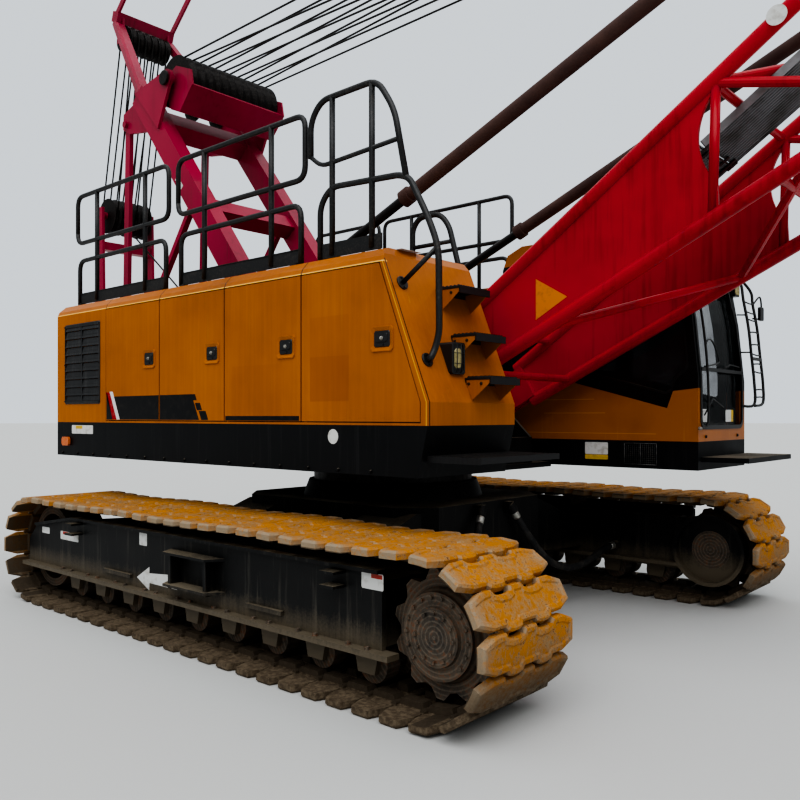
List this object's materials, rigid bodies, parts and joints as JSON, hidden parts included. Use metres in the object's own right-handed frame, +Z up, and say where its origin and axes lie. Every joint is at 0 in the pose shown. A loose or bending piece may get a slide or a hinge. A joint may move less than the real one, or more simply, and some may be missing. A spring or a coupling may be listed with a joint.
{
  "type": "crawler crane with a short lattice boom",
  "caption": "Crawler crane on two wide tracks, with a slewing upper, a cab, side machinery houses, a raised red gantry and a short red lattice boom.",
  "frame": {"origin": "on the ground, where the slewing axis meets it, midway between the tracks", "axes": "+X forward along the boom, +Y to the left, +Z up along the slewing axis"},
  "size_m": [16.8118, 4.25, 8.418],
  "materials": {
    "house_paint": "yellow gloss paint, worn",
    "red_paint": "crimson gloss paint",
    "black_paint": "black satin paint, dusty",
    "track_paint": "worn yellow paint over rusty castings",
    "bare_steel": "dark worn steel",
    "rail_paint": "black pipe",
    "glass": "tinted glass",
    "seat": "dark cloth",
    "engine": "grey paint",
    "grating": "galvanised grating",
    "stop_paint": "dark brown paint",
    "stay_steel": "greased wire rope",
    "hook_paint": "yellow paint",
    "hose_sleeve": "black woven sleeve"
  },
  "bodies": {
    "undercarriage": {"car_body": "black_paint", "slew_ring": "bare_steel", "track_frame_right": "black_paint", "track_frame_left": "black_paint", "track_belt_right": "track_paint", "track_belt_left": "track_paint", "drive_wheel_right": "bare_steel", "drive_wheel_left": "bare_steel", "idler_right": "bare_steel", "idler_left": "bare_steel", "rollers_right": "bare_steel", "rollers_left": "bare_steel", "hose_right": "hose_sleeve", "hose_left": "hose_sleeve"},
    "upper": {"upper_frame": "black_paint", "deck_right": "black_paint", "deck_left": "black_paint", "cab_base": "black_paint", "house_right": "house_paint", "house_left": "house_paint", "engine": "engine", "cab_shell": "house_paint", "cab_glass": "glass", "cab_seat": "seat", "front_steps": "black_paint", "rails_right": "rail_paint", "rails_left": "rail_paint", "gantry": "red_paint", "tail_sheaves": "red_paint"},
    "boom": {"boom_foot": "red_paint", "boom_head": "red_paint", "boom_walkway": "grating", "boom_sheaves": "bare_steel"},
    "luffing_nest": {"luffing_nest": "red_paint"},
    "backstop_rods": {"backstop_rods": "stop_paint"},
    "backstop_tubes": {"backstop_tubes": "stop_paint"},
    "stays": {"stays": "stay_steel"},
    "hook_block": {"hook_block": "hook_paint"},
    "winch_front": {"winch_front": "bare_steel"},
    "winch_middle": {"winch_middle": "bare_steel"},
    "winch_rear": {"winch_rear": "bare_steel"},
    "cab_door": {"cab_door": "house_paint", "door_glass": "glass"},
    "door_right_1": {"door_right_1": "house_paint"},
    "door_right_2": {"door_right_2": "house_paint"},
    "door_right_3": {"door_right_3": "house_paint"},
    "door_right_4": {"door_right_4": "house_paint"},
    "door_left_1": {"door_left_1": "house_paint"},
    "door_left_2": {"door_left_2": "house_paint"}
  },
  "joints": [
    {"name": "slew", "type": "hinge", "parent": "undercarriage", "child": "upper", "pos_m": [0, 0, 1.04], "axis": [0, 0, 1], "continuous": true},
    {"name": "boom_luff", "type": "hinge", "parent": "upper", "child": "boom", "pos_m": [0.61, 0, 1.58], "axis": [0, -1, 0], "range_deg": [0, 49.6]},
    {"name": "nest_swing", "type": "hinge", "parent": "upper", "child": "luffing_nest", "pos_m": [-2.38, 0, 4.75], "axis": [0, -1, 0], "range_deg": [0, 60.2]},
    {"name": "backstop_swing", "type": "hinge", "parent": "upper", "child": "backstop_rods", "pos_m": [-1, 0, 2.27], "axis": [0, -1, 0], "range_deg": [0, 45.3]},
    {"name": "backstop_slide", "type": "slide", "parent": "backstop_rods", "child": "backstop_tubes", "axis": [-0.9201, 0, -0.3917], "range_m": [0, 1.375]},
    {"name": "stay_swing", "type": "hinge", "parent": "boom", "child": "stays", "pos_m": [11.435, 0, 8.3252], "axis": [0, -1, 0], "range_deg": [-9.1, 0]},
    {"name": "hook_swing", "type": "hinge", "parent": "boom", "child": "hook_block", "pos_m": [12.0518, 0, 7.6494], "axis": [0, -1, 0], "range_deg": [-49.7, 0]},
    {"name": "winch_front_turn", "type": "hinge", "parent": "upper", "child": "winch_front", "pos_m": [-0.13, 0, 1.51], "axis": [0, 1, 0], "continuous": true},
    {"name": "winch_middle_turn", "type": "hinge", "parent": "upper", "child": "winch_middle", "pos_m": [-1.15, 0, 1.48], "axis": [0, 1, 0], "continuous": true},
    {"name": "winch_rear_turn", "type": "hinge", "parent": "upper", "child": "winch_rear", "pos_m": [-1.9, 0, 1.48], "axis": [0, 1, 0], "continuous": true},
    {"name": "door_right_1_hinge", "type": "hinge", "parent": "upper", "child": "door_right_1", "pos_m": [-1.717, -1.591, 1.9], "axis": [0, 0, 1], "range_deg": [-105, 0]},
    {"name": "door_right_2_hinge", "type": "hinge", "parent": "upper", "child": "door_right_2", "pos_m": [-0.912, -1.591, 1.9], "axis": [0, 0, 1], "range_deg": [-105, 0]},
    {"name": "door_right_3_hinge", "type": "hinge", "parent": "upper", "child": "door_right_3", "pos_m": [-0.093, -1.591, 1.9], "axis": [0, 0, 1], "range_deg": [-105, 0]},
    {"name": "door_right_4_hinge", "type": "hinge", "parent": "upper", "child": "door_right_4", "pos_m": [0.707, -1.591, 1.9], "axis": [0, 0, 1], "range_deg": [-105, 0]},
    {"name": "door_left_1_hinge", "type": "hinge", "parent": "upper", "child": "door_left_1", "pos_m": [-1.917, 1.591, 1.9], "axis": [0, 0, 1], "range_deg": [0, 105]},
    {"name": "door_left_2_hinge", "type": "hinge", "parent": "upper", "child": "door_left_2", "pos_m": [-0.817, 1.591, 1.9], "axis": [0, 0, 1], "range_deg": [0, 105]},
    {"name": "cab_door_hinge", "type": "hinge", "parent": "upper", "child": "cab_door", "pos_m": [1.273, 1.641, 2], "axis": [0, 0, 1], "range_deg": [0, 100]}
  ],
  "couplings": [
    {"joint": "nest_swing", "follows": "boom_luff", "ratio": 1.2026},
    {"joint": "backstop_swing", "follows": "boom_luff", "ratio": 0.90239},
    {"joint": "backstop_slide", "follows": "boom_luff", "m_per_rad": 1.5823},
    {"joint": "stay_swing", "follows": "boom_luff", "ratio": -0.17258},
    {"joint": "hook_swing", "follows": "boom_luff", "ratio": -1}
  ]
}
